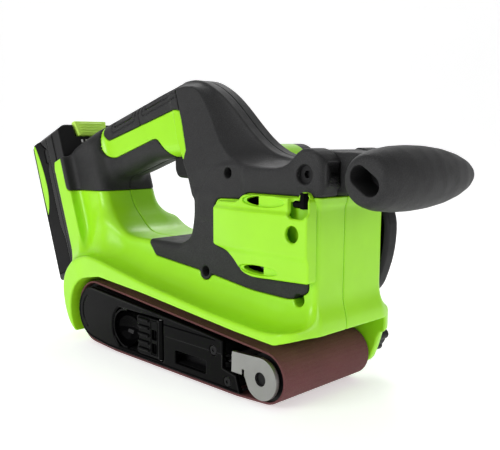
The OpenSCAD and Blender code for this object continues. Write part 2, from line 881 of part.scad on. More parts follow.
module battery_case() {
  half = pack_w / 2;
  color(black) pack_frame() difference() {
    block([0, -half, 0], [case_d, half, pack_l]);
    block([skin, -half + skin, skin], [case_d + 1, half - skin, pack_l - skin]);
  }
}

latch_half = 15;
latch_z0 = 106;

module battery_lid() {
  half = pack_w / 2;
  color(charcoal) pack_frame() difference() {
    block([case_d + small, -half + 0.6, 0], [pack_d, half - 0.6, pack_l]);
    block([case_d - 1, -half + skin, skin], [pack_d - skin, half - skin, latch_z0 - skin]);
    block([case_d + 4, -latch_half - gap, latch_z0], [pack_d + 1, latch_half + gap, pack_l + 1]);
    for (y = [-10, 0, 10]) block([pack_d - skin - 1, y - 1.2, -1], [pack_d + 1, y + 1.2, 60]);
    for (i = [0:3]) block([pack_d - 4, led_y(i) - 0.8, led_z], [pack_d + 1, led_y(i) + 0.8, led_z + 2.4]);
    translate([pack_d - 4, 11, led_z + 1.2]) rotate([0, 90, 0]) cylinder(h = 6, r = button_r + gap);
  }
}

led_z = 101;
function led_y(i) = -10 + i * 4;
button_r = 2.4;

module battery_leds() {
  color("white") pack_frame() for (i = [0:3])
    block([pack_d - skin, led_y(i) - 0.75, led_z + 0.05], [pack_d, led_y(i) + 0.75, led_z + 2.35]);
}

cell_r = 8.9;

module battery_cells() {
  color("steelblue") pack_frame() for (x = [12.3, 30.4]) for (i = [-1:1])
    translate([x, i * 2 * (cell_r + 0.1), 20]) cylinder(h = 65, r = cell_r);
}

module battery_latch() {
  color(green) pack_frame() {
    block([case_d + 7.6, -latch_half, latch_z0 + gap], [pack_d + 1.6, latch_half, pack_l + 2.5]);
    for (i = [0:4]) block([pack_d + 1.5, -latch_half + 2, latch_z0 + 2 + i * 2.4],
      [pack_d + 2.2, latch_half - 2, latch_z0 + 3 + i * 2.4]);
  }
}

module charge_button() {
  color(black) pack_frame() translate([pack_d - 2.6, 11, led_z + 1.2]) rotate([0, 90, 0])
    cylinder(h = 3, r = button_r);
}

right_housing();
left_housing();
front_overmold_right();
front_overmold_left();
palm_grip();
finger_grip_right();
finger_grip_left();
motor_cover();
hex_key();
housing_screws();
dust_port();
dust_collar();
base_frame();
drive_plate();
platen_plate();
platen_pad();
sanding_belt();
side_cover();
side_cover_screws();
motor_stator();
motor_windings();
motor_bearings();
motor_rotor();
motor_shaft();
cooling_fan();
motor_pulley();
timing_belt();
drum_pulley();
drum_shaft();
drum_bearings();
drive_drum();
belt_cover();
belt_cover_screws();
front_roller();
roller_bearings();
roller_axle();
roller_fork();
pull_rod();
tension_spring();
release_lever();
lever_pin();
tracking_knob();
tracking_screw();
front_handle();
pivot_bolt();
pivot_nut();
trigger();
trigger_pin();
lock_button();
switch_body();
controller_board();
heat_sink();
terminal_block();
battery_case();
battery_lid();
battery_cells();
battery_leds();
battery_latch();
charge_button();
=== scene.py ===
import math

import bpy
import numpy as np
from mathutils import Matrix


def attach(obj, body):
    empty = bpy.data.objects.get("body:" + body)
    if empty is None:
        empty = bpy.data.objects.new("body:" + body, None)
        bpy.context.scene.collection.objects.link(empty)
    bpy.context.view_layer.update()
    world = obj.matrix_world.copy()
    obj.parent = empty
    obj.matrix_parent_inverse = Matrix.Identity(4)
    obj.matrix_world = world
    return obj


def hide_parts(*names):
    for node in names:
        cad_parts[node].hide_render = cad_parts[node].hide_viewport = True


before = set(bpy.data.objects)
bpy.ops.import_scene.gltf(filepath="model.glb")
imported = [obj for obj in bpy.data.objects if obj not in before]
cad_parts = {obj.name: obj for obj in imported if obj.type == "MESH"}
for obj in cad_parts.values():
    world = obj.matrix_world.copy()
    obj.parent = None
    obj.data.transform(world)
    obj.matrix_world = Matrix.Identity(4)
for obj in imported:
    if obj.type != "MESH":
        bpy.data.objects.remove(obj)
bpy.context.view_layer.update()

import openvdb
from mathutils import Vector

MM = 0.001
VOXEL = 0.8
FINE_VOXEL = 0.5
LEVER_VOXEL = 0.35
PACK_VOXEL = FINE_VOXEL

# ---------- dimensions shared with the CAD frame, in millimetres ----------

DRUM = (-85.0, 23.9)
HINGE = (102.0, 129.0)
PACK_ORIGIN = (-149.8, 36.0)
PACK_TILT = math.radians(20)
PACK_HALF, PACK_CASE, PACK_DEPTH = 30.0, 33.0, 44.0
SKIRT_NEAR, SKIRT_FAR = -44.5, 45.0
BLOCK_NEAR, BLOCK_FAR = -24.0, 37.0
BOSSES = [(20, 66), (97, 60), (41, 128), (-84, 66), (-98, 141)]
VISIBLE_SCREWS = BOSSES[:3]


def arc(cx, cz, r, start, end, steps=12):
    angles = np.radians(np.linspace(start, end, steps + 1))
    return [(cx + r * math.cos(a), cz + r * math.sin(a)) for a in angles]


def rounded(corners, steps=5):
    """Corners (x, z, reach), each rounded over its reach."""
    points = []
    for i, (x, z, reach) in enumerate(corners):
        p = np.array((x, z), float)
        if reach <= 0:
            points.append(tuple(p))
            continue
        ends = []
        for other in (corners[i - 1], corners[(i + 1) % len(corners)]):
            q = np.array(other[:2], float)
            length = np.linalg.norm(q - p)
            ends.append(p + (q - p) / length * min(reach, 0.48 * length))
        for t in np.linspace(0, 1, steps + 1):
            c = (1 - t) ** 2 * ends[0] + 2 * t * (1 - t) * p + t * t * ends[1]
            points.append(tuple(c))
    return points


TUNNEL = arc(*DRUM, 25.5, 100, 250, 16) + [
    (-80, -9), (140, -9), (140, 41.5), (108, 41.5), (96, 38), (66, 40), (-23, 48.6), (-72, 52)]
SKIRT = rounded([
    (-94, 5.5, 0), (-104, 5.5, 5), (-114, 13, 6), (-121.5, 30, 10), (-118, 48, 7), (-107, 59, 7),
    (-92, 65.5, 8), (-78, 65, 6), (-20, 55.4, 8), (46, 47.2, 8), (88, 44, 6), (108.6, 46.5, 2),
    (108.6, 34, 0), (40, 20, 0)])
FAR_WALL = rounded([
    (-94, 8, 0), (-104, 6, 5), (-114, 13, 6), (-121.5, 30, 10), (-118, 48, 7), (-107, 59, 7),
    (-92, 65, 7), (104, 50, 4), (106, 28, 10), (99, 11, 5), (80, 8, 5)])
BODY = rounded([
    (-104, 40, 0), (-104, 66, 6), (-95, 87, 2), (-85, 90, 5), (-66, 80, 10), (-6, 80, 4),
    (5, 86, 5), (8, 100, 4), (8, 117, 0), (109.6, 117, 0), (109, 60, 4), (107.8, 36, 0)])
GRIP = rounded([
    (-137, 138, 3), (-131, 149, 5), (-112, 156.5, 8), (-38, 178.5, 6), (-14, 185, 5), (2, 172, 2),
    (0, 138, 2), (-24, 136, 4), (-47, 134, 6), (-78, 124, 8), (-97, 119, 5), (-112, 106, 2)])
NECK = rounded([
    (-26, 182, 4), (-12, 186.2, 6), (-1, 184.8, 5), (8, 181, 5), (15.3, 176.8, 4), (21.8, 172, 4),
    (27.2, 167.3, 4), (31.7, 163.2, 4), (36.1, 158.9, 4), (43, 152.6, 5), (49.8, 147, 5),
    (57, 142.4, 5), (65, 138.8, 4), (76, 136.4, 4), (92, 135.4, 2),
    (92, 112, 2), (7, 112, 2), (2, 127, 6), (-14, 150, 4)])
HOOD_SIDE = rounded([
    (-60, 90, 0), (-60, 172, 0), (-30, 177, 4), (-12, 181.5, 4), (0, 181.5, 5), (6, 178, 4),
    (12, 170.5, 4), (18.5, 162, 4), (24, 154, 4), (30.3, 146.1, 4), (37.3, 139.6, 5),
    (45, 135.4, 5), (56, 132.8, 5), (72, 131.4, 4), (140, 131, 0), (140, 90, 0)])
SHOULDER = rounded([
    (12, 100, 0), (13, 110, 4), (17.5, 119, 4), (24.5, 127.6, 5), (34, 132.6, 5), (46, 133.6, 5),
    (60, 131.8, 6), (80, 130.6, 4), (98, 130.5, 0), (98, 100, 0)])
SPINE_HALF = 7.6
GRIP_TILT = math.radians(17.3)
BRACKET = [(56, 114), (56, 129), (70, 129.8), (79, 130.4), (85, 131.8), (89.5, 134.2),
           (93.2, 137.3), (96.4, 140.2), (99.5, 142)] + arc(*HINGE, 13.5, 96, -20, 10) + [
               (109.4, 114)]
EAR_NEAR, EAR_FRONT, EAR_CORNER = -26.0, 115.6, 8.0
NOSE, NOSE_CORNER = 108.6, 13.0
SKIN_DEPTH = 1.8
SEAM, SOFT_SEAM = 0.12, 0.03
GROOVE = 0.25
HOOD_PROUD, PALM_PROUD, FINGER_PROUD = 0.5, 0.3, 0.4
BOSS_RADIUS = 5.4
SCREW_HOLE, SCREW_FLOOR = 3.7, -12
DUST_PORT, DUST_BORE, DUST_SEAT = (22, 127), 15.0, 18.1
LOCK_BUTTON, LOCK_HOLE = (-28, 154), 5.3
TRACKING_SCREW, TRACKING_HOLE = (90, 26), 3.1
BOLT_HOLE, BOLT_HEAD_SEAT, BOLT_NUT_SEAT = 3.1, 5.8, 5.9
BARREL_NEAR, BARREL_FAR = -10.9, 21.9
SWING_NEAR, SWING_FAR = -11.2, 22.2
TRIGGER_PIN, TRIGGER_HALF = (-11, 143), 7.1
COVER_SCREWS = [(-40, 66), (104.6, 92), (48, 54), (-66, 9)]
PLATE_SCREWS = [(45, 24), (57, 7.7)]
HOOD_REGION = rounded([
    (-24, 200, 0), (140, 200, 0), (140, 117, 0), (58.5, 117, 3), (53, 112.9, 3), (33, 112.4, 2),
    (29.8, 109.5, 2), (29.8, 83.5, 2), (42, 81.5, 3), (50, 76.5, 4), (56, 70.5, 4), (65, 68.5, 4),
    (104, 70.5, 1), (104, 65, 3), (92, 59, 6), (60, 60, 8),
    (26, 64.6, 8), (-31, 70, 2), (-40, 80, 3), (-40, 84.5, 0), (-4, 84.5, 0), (-5.5, 125, 0),
    (-1.5, 141, 0), (-13, 166, 3)])
PALM_REGION = rounded([
    (-112, 172, 0), (-104, 151, 3), (-98, 146.6, 3), (-19, 167.5, 5), (-13, 166, 0),
    (-24, 200, 0), (-112, 200, 0)])
FINGER_REGION = rounded([
    (-129.3, 109.4, 4), (-80, 110.5, 0), (-70, 124, 0), (-47, 128, 0), (-23.5, 131, 0),
    (-23.5, 134.5, 3), (-40, 149, 4), (-89, 134.5, 4), (-98, 135, 4), (-103, 139.5, 4),
    (-105, 147, 3), (-113, 172, 0), (-150.9, 170, 0)])
SPINE_CAVITY = rounded([
    (-12, 181, 4), (4, 177, 4), (22, 164, 6), (40, 146, 6), (54, 134, 3), (54, 113, 0),
    (12, 113, 0), (7, 130, 4), (-8, 150, 2)])
GRIP_CAVITY = rounded([
    (-128, 138, 2), (-118, 148, 4), (-38, 173, 4), (-11, 180, 2), (-6, 142, 2), (-24, 140, 2),
    (-48, 138, 4), (-80, 128, 4), (-96, 123, 2), (-112, 112, 2)])
COVER = rounded([
    (-107.8, 1.6, 16), (-107.8, 44, 12), (-82, 50, 8), (32, 110, 14), (58, 119, 8), (100, 118, 8),
    (112, 104, 10), (111, 80, 12), (103, 58, 6), (92, 49, 6), (56, 48, 14), (-62, 1.6, 14)])
MOTOR_COVER = rounded([
    (31, 84.5, 2), (42.5, 82.5, 3), (51, 77.5, 4), (57, 71.5, 4), (66, 69.5, 4), (109, 71, 2),
    (109.3, 116.6, 2), (59, 116.6, 3), (53.5, 112, 3), (34, 111.4, 2), (31, 108.5, 2)])

# ---------- distance fields on a grid ----------


class Grid:
    """A box of sample points, in millimetres, with room round the shape."""

    def __init__(self, low, high, voxel=VOXEL):
        self.low, self.voxel = np.array(low, float), voxel
        x, y, z = (np.arange(a, b + voxel, voxel, dtype=np.float32) for a, b in zip(low, high))
        self.x, self.y, self.z = x[:, None, None], y[None, :, None], z[None, None, :]

    def pack(self):
        """Distance into the tool and along the pack, in the battery's leaning frame."""
        dx, dz = self.x - PACK_ORIGIN[0], self.z - PACK_ORIGIN[1]
        c, s = math.cos(PACK_TILT), math.sin(PACK_TILT)
        return dx * c + dz * s, -dx * s + dz * c


def outline(points, u, v):
    """Signed distance to a closed outline in the plane of u and v."""
    shape = np.broadcast(u, v).shape
    best = np.full(shape, 1e9, np.float32)
    inside = np.zeros(shape, bool)
    pts = np.array(points, np.float32)
    for a, b in zip(pts, np.roll(pts, -1, 0)):
        e = b - a
        length2 = float(e @ e)
        if length2 < 1e-8:
            continue
        t = np.clip(((u - a[0]) * e[0] + (v - a[1]) * e[1]) / length2, 0, 1)
        best = np.minimum(best, (u - a[0] - t * e[0]) ** 2 + (v - a[1] - t * e[1]) ** 2)
        if abs(e[1]) > 1e-9:
            crosses = (a[1] > v) != (b[1] > v)
            inside ^= crosses & (u < a[0] + e[0] * (v - a[1]) / e[1])
    best = np.sqrt(best)
    return np.where(inside, -best, best)


def corner(a, b, r):
    """The overlap of two fields with its edge rounded to radius r."""
    if r <= 0:
        return np.maximum(a, b)
    a, b = a + r, b + r
    out = np.sqrt(np.maximum(a, 0) ** 2 + np.maximum(b, 0) ** 2)
    return out + np.minimum(np.maximum(a, b), 0) - r


def span(v, low, high):
    """Distance outside the interval from low to high, negative within it."""
    return np.abs(v - (low + high) / 2) - (high - low) / 2


def slab(g, points, y0, y1, r=0.0):
    return corner(outline(points, g.x, g.z), span(g.y, y0, y1), r)


def box(u, v, w, low, high, r=0.0):
    """A box with all its edges rounded."""
    a, b, c = (span(q, lo, hi) + r for q, lo, hi in zip((u, v, w), low, high))
    out = np.sqrt(np.maximum(a, 0) ** 2 + np.maximum(b, 0) ** 2 + np.maximum(c, 0) ** 2)
    return out + np.minimum(np.maximum(np.maximum(a, b), c), 0) - r


def pad(u, v, low, high, r=0.0):
    """A rounded rectangle in u and v: the middle of a box 2 mm thick."""
    return box(u, v, 0.0, (*low, -1), (*high, 1), r)


def rod(g, x, z, r, y0, y1, edge=0.0):
    return corner(np.hypot(g.x - x, g.z - z) - r, span(g.y, y0, y1), edge)


def blend(a, b, k):
    """The union of two fields with a fillet of about k between them."""
    h = np.clip(0.5 + 0.5 * (b - a) / k, 0, 1)
    return b * (1 - h) + a * h - k * h * (1 - h)


def cut(a, b, k=0.0):
    """Field a without b, with the new edge eased by k."""
    return -blend(-a, b, k) if k > 0 else np.maximum(a, -b)


def smooth(t):
    """Eases a value from 0 to 1."""
    return t * t * (3 - 2 * t)


def sample(field, p):
    """The field at fractional grid positions."""
    top = np.array(field.shape) - 1.001
    p = np.clip(p, 0, top)
    i = p.astype(int)
    f = (p - i).astype(np.float32)
    total = np.zeros(len(p), np.float32)
    for dx in (0, 1):
        for dy in (0, 1):
            for dz in (0, 1):
                w = (f[:, 0] if dx else 1 - f[:, 0]) * (f[:, 1] if dy else 1 - f[:, 1])
                w = w * (f[:, 2] if dz else 1 - f[:, 2])
                total += w * field[i[:, 0] + dx, i[:, 1] + dy, i[:, 2] + dz]
    return total


def slope(field, p, step=0.5):
    g = np.empty_like(p)
    for axis in range(3):
        d = np.zeros(3)
        d[axis] = step
        g[:, axis] = sample(field, p + d) - sample(field, p - d)
    return g / (2 * step)


def piece(name, g, field, body, material, nodes=(), thin=0.4):
    """Turns a field into a smooth mesh that rides on a CAD body."""
    field = np.ascontiguousarray(np.broadcast_to(
        field, (g.x.size, g.y.size, g.z.size)), np.float32)
    grid = openvdb.FloatGrid(float(3 * g.voxel))
    grid.copyFromArray(np.clip(field, -3 * g.voxel, 3 * g.voxel))
    points, triangles, quads = grid.convertToPolygons(0.0, 0.0)
    points = points.astype(np.float64)
    for _ in range(2):
        n = slope(field, points)
        n2 = np.maximum((n * n).sum(1), 0.05)
        step = sample(field, points)[:, None] * n / n2[:, None]
        points -= np.clip(step, -0.4, 0.4)
    mesh = bpy.data.meshes.new(name)
    verts = (points * g.voxel + g.low) * MM
    mesh.from_pydata(verts.tolist(), [], triangles.tolist() + quads.tolist())
    obj = bpy.data.objects.new(name, mesh)
    bpy.context.scene.collection.objects.link(obj)
    if thin < 1:
        decimate = obj.modifiers.new("thin", "DECIMATE")
        decimate.ratio = thin
        dg = bpy.context.evaluated_depsgraph_get()
        mesh = bpy.data.meshes.new_from_object(obj.evaluated_get(dg))
        obj.modifiers.clear()
        obj.data = mesh
        mesh.name = name
    mesh.polygons.foreach_set("use_smooth", np.ones(len(mesh.polygons), bool))
    co = np.empty(len(mesh.vertices) * 3, np.float32)
    mesh.vertices.foreach_get("co", co)
    p = (co.reshape(-1, 3) / MM - g.low) / g.voxel
    n = slope(field, p, 0.6)
    n /= np.maximum(np.linalg.norm(n, axis=1, keepdims=True), 1e-6)
    mesh.normals_split_custom_set_from_vertices(n.tolist())
    mesh.materials.append(material)
    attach(obj, body)
    if nodes:
        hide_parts(*nodes)
    return obj


# ---------- materials ----------


def ramp(tree, source, low, high, colours):
    node = tree.nodes.new("ShaderNodeValToRGB")
    node.color_ramp.elements[0].position, node.color_ramp.elements[1].position = low, high
    node.color_ramp.elements[0].color, node.color_ramp.elements[1].color = colours
    tree.links.new(source, node.inputs[0])
    return node.outputs[0]


def noise(tree, coords, scale, detail=3.0, stretch=None):
    node = tree.nodes.new("ShaderNodeTexNoise")
    node.inputs["Scale"].default_value = scale
    node.inputs["Detail"].default_value = detail
    if stretch:
        mapping = tree.nodes.new("ShaderNodeMapping")
        mapping.inputs["Scale"].default_value = stretch
        tree.links.new(coords, mapping.inputs[0])
        coords = mapping.outputs[0]
    tree.links.new(coords, node.inputs["Vector"])
    return node.outputs["Fac"]


def grey(v):
    return (v, v, v, 1)


def surface(name, colour, rough, metal=0.0, tint=0.06, grain=900, depth=0.15, spread=0.06,
            stretch=None, coat=0.0, specular=0.5, cells=False, fine=None):
    """A moulded, brushed or coated surface with uneven colour and roughness, and a fine grain.
    grain is in cells per metre and depth is the height of the grain in millimetres."""
    mat = bpy.data.materials.new(name)
    mat.use_nodes = True
    tree = mat.node_tree
    bsdf = tree.nodes["Principled BSDF"]
    bsdf.inputs["Metallic"].default_value = metal
    bsdf.inputs["Specular IOR Level"].default_value = specular
    if coat:
        bsdf.inputs["Coat Weight"].default_value = coat
        bsdf.inputs["Coat Roughness"].default_value = 0.08
    coords = tree.nodes.new("ShaderNodeTexCoord").outputs["Object"]
    clouds = noise(tree, coords, 45, 4)
    low = tuple(c * (1 - tint) for c in colour) + (1,)
    high = tuple(min(c * (1 + tint), 1) for c in colour) + (1,)
    base = ramp(tree, clouds, 0.3, 0.7, (low, high))
    grains = noise(tree, coords, grain, 2, stretch)
    if fine:
        specks = ramp(tree, noise(tree, coords, grain * 1.7, 1), 0.45, 0.75, (grey(0), grey(1)))
        mix = tree.nodes.new("ShaderNodeMix")
        mix.data_type = "RGBA"
        tree.links.new(specks, mix.inputs["Factor"])
        tree.links.new(base, mix.inputs["A"])
        mix.inputs["B"].default_value = tuple(fine) + (1,)
        base = mix.outputs["Result"]
    tree.links.new(base, bsdf.inputs["Base Color"])
    roughness = ramp(tree, noise(tree, coords, 140, 5, stretch), 0.3, 0.75,
                     (grey(max(rough - spread, 0.02)), grey(min(rough + spread, 1))))
    tree.links.new(roughness, bsdf.inputs["Roughness"])
    height = grains
    if cells:
        voronoi = tree.nodes.new("ShaderNodeTexVoronoi")
        voronoi.inputs["Scale"].default_value = grain
        tree.links.new(coords, voronoi.inputs["Vector"])
        height = voronoi.outputs["Distance"]
    bump = tree.nodes.new("ShaderNodeBump")
    bump.inputs["Strength"].default_value = 1.0
    bump.inputs["Distance"].default_value = depth * MM
    tree.links.new(height, bump.inputs["Height"])
    tree.links.new(bump.outputs[0], bsdf.inputs["Normal"])
    return mat


GREEN = surface("green_plastic", (0.335, 0.76, 0.012), 0.34, grain=2600, depth=0.010, tint=0.03,
                specular=0.42)
CHARCOAL = surface("charcoal_grip", (0.021, 0.021, 0.0215), 0.58, grain=1500, depth=0.10,
                   cells=True, tint=0.10, specular=0.20, fine=(0.040, 0.040, 0.041))
GLOSS = surface("gloss_black", (0.0015, 0.0015, 0.0017), 0.10, grain=700, depth=0.004,
                spread=0.03, tint=0.15, specular=0.05)
BLACK = surface("matte_black", (0.006, 0.006, 0.0065), 0.46, grain=1800, depth=0.03, tint=0.12,
                specular=0.22)
DARK = surface("dark_shell", (0.011, 0.011, 0.0115), 0.46, grain=2200, depth=0.025, tint=0.08,
               specular=0.16)
PACK_BLACK = surface("pack_shell", (0.009, 0.009, 0.0095), 0.36, grain=2200, depth=0.025,
                     tint=0.08, specular=0.2)
STEEL = surface("pressed_steel", (0.30, 0.298, 0.29), 0.36, metal=1.0, grain=900, depth=0.015,
                stretch=(0.15, 1, 1), tint=0.10)
BRIGHT = surface("ground_steel", (0.62, 0.62, 0.63), 0.22, metal=1.0, grain=900, depth=0.008,
                 stretch=(0.1, 1, 1), tint=0.06)
SCREW = surface("black_screw", (0.02, 0.02, 0.021), 0.35, metal=1.0, grain=1200, depth=0.02)
ALLOY = surface("cast_alloy", (0.60, 0.60, 0.61), 0.45, metal=1.0, grain=700, depth=0.05)
ABRASIVE = surface("abrasive_cloth", (0.138, 0.046, 0.049), 0.85, grain=2300, depth=0.25,
                   cells=True, tint=0.10, specular=0.2, fine=(0.175, 0.088, 0.084))
GRAPHITE = surface("graphite_cloth", (0.06, 0.06, 0.065), 0.7, grain=1600, depth=0.1, cells=True)
COPPER = surface("copper_wire", (0.72, 0.32, 0.13), 0.3, metal=1.0, grain=1400, depth=0.1,
                 stretch=(1, 0.1, 1))
BOARD = surface("solder_mask", (0.015, 0.13, 0.05), 0.35, grain=900, depth=0.03)
WRAP = surface("cell_wrap", (0.03, 0.16, 0.4), 0.3, grain=600, depth=0.01)
LATCH = surface("latch_green", (0.58, 0.98, 0.11), 0.42, grain=2200, depth=0.02, tint=0.05)
LAMP = surface("lamp_lens", (0.85, 0.85, 0.83), 0.3, grain=900, depth=0.01, tint=0.03)

NODE_MATERIALS = {
    "housing_screws": SCREW, "dust_port": GREEN, "base_frame": BLACK, "drive_plate": ALLOY,
    "platen_plate": BRIGHT, "platen_pad": GRAPHITE, "sanding_belt": ABRASIVE,
    "side_cover_screws": SCREW, "motor_stator": STEEL, "motor_windings": COPPER,
    "motor_bearings": BRIGHT, "motor_rotor": STEEL, "motor_shaft": BRIGHT, "cooling_fan": BLACK,
    "motor_pulley": STEEL, "timing_belt": BLACK, "drum_pulley": STEEL, "drum_shaft": BRIGHT,
    "drum_bearings": BRIGHT, "drive_drum": BLACK, "belt_cover_screws": SCREW,
    "front_roller": BLACK, "roller_bearings": BRIGHT, "roller_axle": SCREW,
    "roller_fork": STEEL, "pull_rod": BRIGHT, "tension_spring": STEEL, "lever_pin": STEEL,
    "tracking_knob": DARK, "tracking_screw": BRIGHT, "pivot_bolt": BLACK, "pivot_nut": STEEL,
    "trigger_pin": STEEL, "lock_button": BLACK, "switch_body": BLACK,
    "controller_board": BOARD, "heat_sink": ALLOY, "terminal_block": BLACK,
    "battery_cells": WRAP, "battery_leds": LAMP, "charge_button": BLACK,
    "dust_collar": CHARCOAL, "hex_key": GLOSS,
}
SOFT_EDGES = {
    "dust_port": 0.8, "dust_collar": 1.0, "sanding_belt": 0.15, "tracking_knob": 1.0,
    "hex_key": 0.3, "roller_fork": 0.3, "lock_button": 0.6, "base_frame": 0.4,
    "front_roller": 0.4, "roller_axle": 0.3, "battery_leds": 0.15, "charge_button": 0.4,
    "side_cover_screws": 0.2, "housing_screws": 0.3, "pivot_bolt": 0.3, "switch_body": 0.5,
    "terminal_block": 0.3, "drive_drum": 0.4, "platen_plate": 0.2, "heat_sink": 0.2,
}


def dress_nodes():
    """Gives each CAD node that still shows its material, and eases its edges."""
    for name, material in NODE_MATERIALS.items():
        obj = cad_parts[name]
        obj.data.materials.clear()
        obj.data.materials.append(material)
        if name in SOFT_EDGES:
            bevel = obj.modifiers.new("edge", "BEVEL")
            bevel.width = SOFT_EDGES[name] * MM
            bevel.segments = 2
            bevel.limit_method = "ANGLE"
            bevel.angle_limit = math.radians(38)
            bevel.harden_normals = False
        obj.data.polygons.foreach_set("use_smooth", np.ones(len(obj.data.polygons), bool))
        smooth = obj.modifiers.new("normals", "WEIGHTED_NORMAL")
        smooth.keep_sharp = True


# ---------- the shell ----------


def hood(g):
    """The sweep from the handle to the bracket: a flat spine, a scooped facet below it on each
    side, and side walls that flare out to meet the block."""
    top = outline(NECK, g.x, g.z)
    side = outline(HOOD_SIDE, g.x, g.z)
    t = np.clip(side / np.maximum(side - top, 0.5), 0, 1)
    flare_top, flare_height, wall_half, wall_flare, scoop = 176, 52, 16.4, 7.0, 1.6
    flare = np.clip((flare_top - g.z) / flare_height, 0, 1)
    wide = wall_half + wall_flare * smooth(flare)
    half = SPINE_HALF + (wide - SPINE_HALF) * (1 - t) ** scoop
    return corner(top, np.abs(g.y) - half, 0.5)


def receptacle(g):
    """The leaning column behind the hand opening, which holds the battery."""
    u, w = g.pack()
    half, bottom, top, back = 33.4, -7, 88, 48.5
    strips = box(u, g.y, w, (PACK_CASE, -half, bottom), (back, half, top), 1.2)
    column = box(u, g.y, w, (44.5, -25, 2), (78, 25, 94), 7)
    return blend(strips, column, 5)


def outer(g):
    """The whole outside of the shell, soft parts and green parts together."""
    plan = pad(g.x, g.y, (-150, SKIRT_NEAR), (NOSE, SKIRT_FAR))
    plan = np.maximum(plan, corner(g.x - NOSE, SKIRT_NEAR - g.y, NOSE_CORNER))
    skirt = corner(slab(g, SKIRT, SKIRT_NEAR, SKIRT_FAR, 2.2), plan, 1.0)
    skirt = np.minimum(skirt, slab(g, FAR_WALL, 39, SKIRT_FAR, 1.6))
    body = slab(g, BODY, BLOCK_NEAR, BLOCK_FAR, 3.5)
    shape = blend(skirt, body, 17)
    shape = blend(shape, receptacle(g), 18)
    shape = blend(shape, slab(g, GRIP, -16, 16, 9), 9)
    shape = blend(shape, slab(g, SHOULDER, BLOCK_NEAR - 0.3, 24, 1.6), 3)
    shape = blend(shape, hood(g), 2.5)
    ear = corner(slab(g, BRACKET, EAR_NEAR, BLOCK_FAR, 2.2),
                 corner(g.x - EAR_FRONT, EAR_NEAR - g.y, EAR_CORNER), 1.0)
    return np.maximum(blend(shape, ear, 5), SKIRT_NEAR - g.y)


def hollows(g):
    """The rooms inside the shell, which are left solid round the screw bosses."""
    u, w = g.pack()
    motor_bay = box(g.x, g.y, g.z, (14, -21, 57), (105, 34, 115), 1)
    room = motor_bay
    for part in (
            box(g.x, g.y, g.z, (-90, -21, 58), (15, 34, 76.5), 1),
            box(g.x, g.y, g.z, (12, -18, 70), (16, 18, 116), 1),
            slab(g, SPINE_CAVITY, -6, 6),
            slab(g, GRIP_CAVITY, -12.5, 12.5),
            box(u, g.y, w, (48.5, -21, 16), (75, 21, 88), 1)):
        room = np.minimum(room, part)
    for x, z in BOSSES:
        room = np.maximum(room, BOSS_RADIUS - np.hypot(g.x - x, g.z - z))
    return room


def openings(g, field):
    """Cuts the belt tunnel, the battery bay and the holes out of the shell."""
    u, w = g.pack()
    field = cut(field, slab(g, TUNNEL, -60, 39), 1.6)
    field = cut(field, box(u, g.y, w, (-30, -30.4, -0.5), (44.5, 30.4, 160)), 0.6)
    field = np.maximum(field, -hollows(g))
    swing = rod(g, *HINGE, 13.7, SWING_NEAR, SWING_FAR)
    for x, z in ((88.3, 129), (102, 117)):
        swing = np.minimum(swing, box(g.x, g.y, g.z, (x, SWING_NEAR, z), (130, SWING_FAR, 150)))
    field = cut(field, swing, 1.0)
    for x, z in VISIBLE_SCREWS:
        field = cut(field, rod(g, x, z, SCREW_HOLE, -60, SCREW_FLOOR), 0.8)
    trigger_slot = box(g.x, g.y, g.z, (-38.5, -7.5, 116), (-5.5, 7.5, 152))
    field = cut(field, trigger_slot, 0.6)
    field = cut(field, rod(g, *LOCK_BUTTON, LOCK_HOLE, 10, 30), 0.6)
    field = cut(field, rod(g, *HINGE, BOLT_HEAD_SEAT, -40, -19.8), 0.8)
    field = np.maximum(field, -rod(g, *HINGE, BOLT_HOLE, -30, 34))
    field = cut(field, rod(g, *HINGE, BOLT_NUT_SEAT, 29, 50), 0.6)
    cover_seat = slab(g, COVER, 37.2, 60) - 0.4
    field = np.maximum(field, -cover_seat)
    field = cut(field, rod(g, *DUST_PORT, DUST_SEAT, 21, 60), 0.6)
    field = np.maximum(field, -rod(g, *DUST_PORT, DUST_BORE, 6, 60))
    field = np.maximum(field, -rod(g, *TRACKING_SCREW, TRACKING_HOLE, 30, 50))
    for z in (71, 109.5):
        vent = box(g.x, g.y, g.z, (55, -30, z), (88, -20, z + 6))
        field = np.maximum(field, -vent)
    terminals = box(u, g.y, w, (43.5, -16.4, 29.6), (49.5, 16.4, 60.4))
    return np.maximum(field, -terminals)


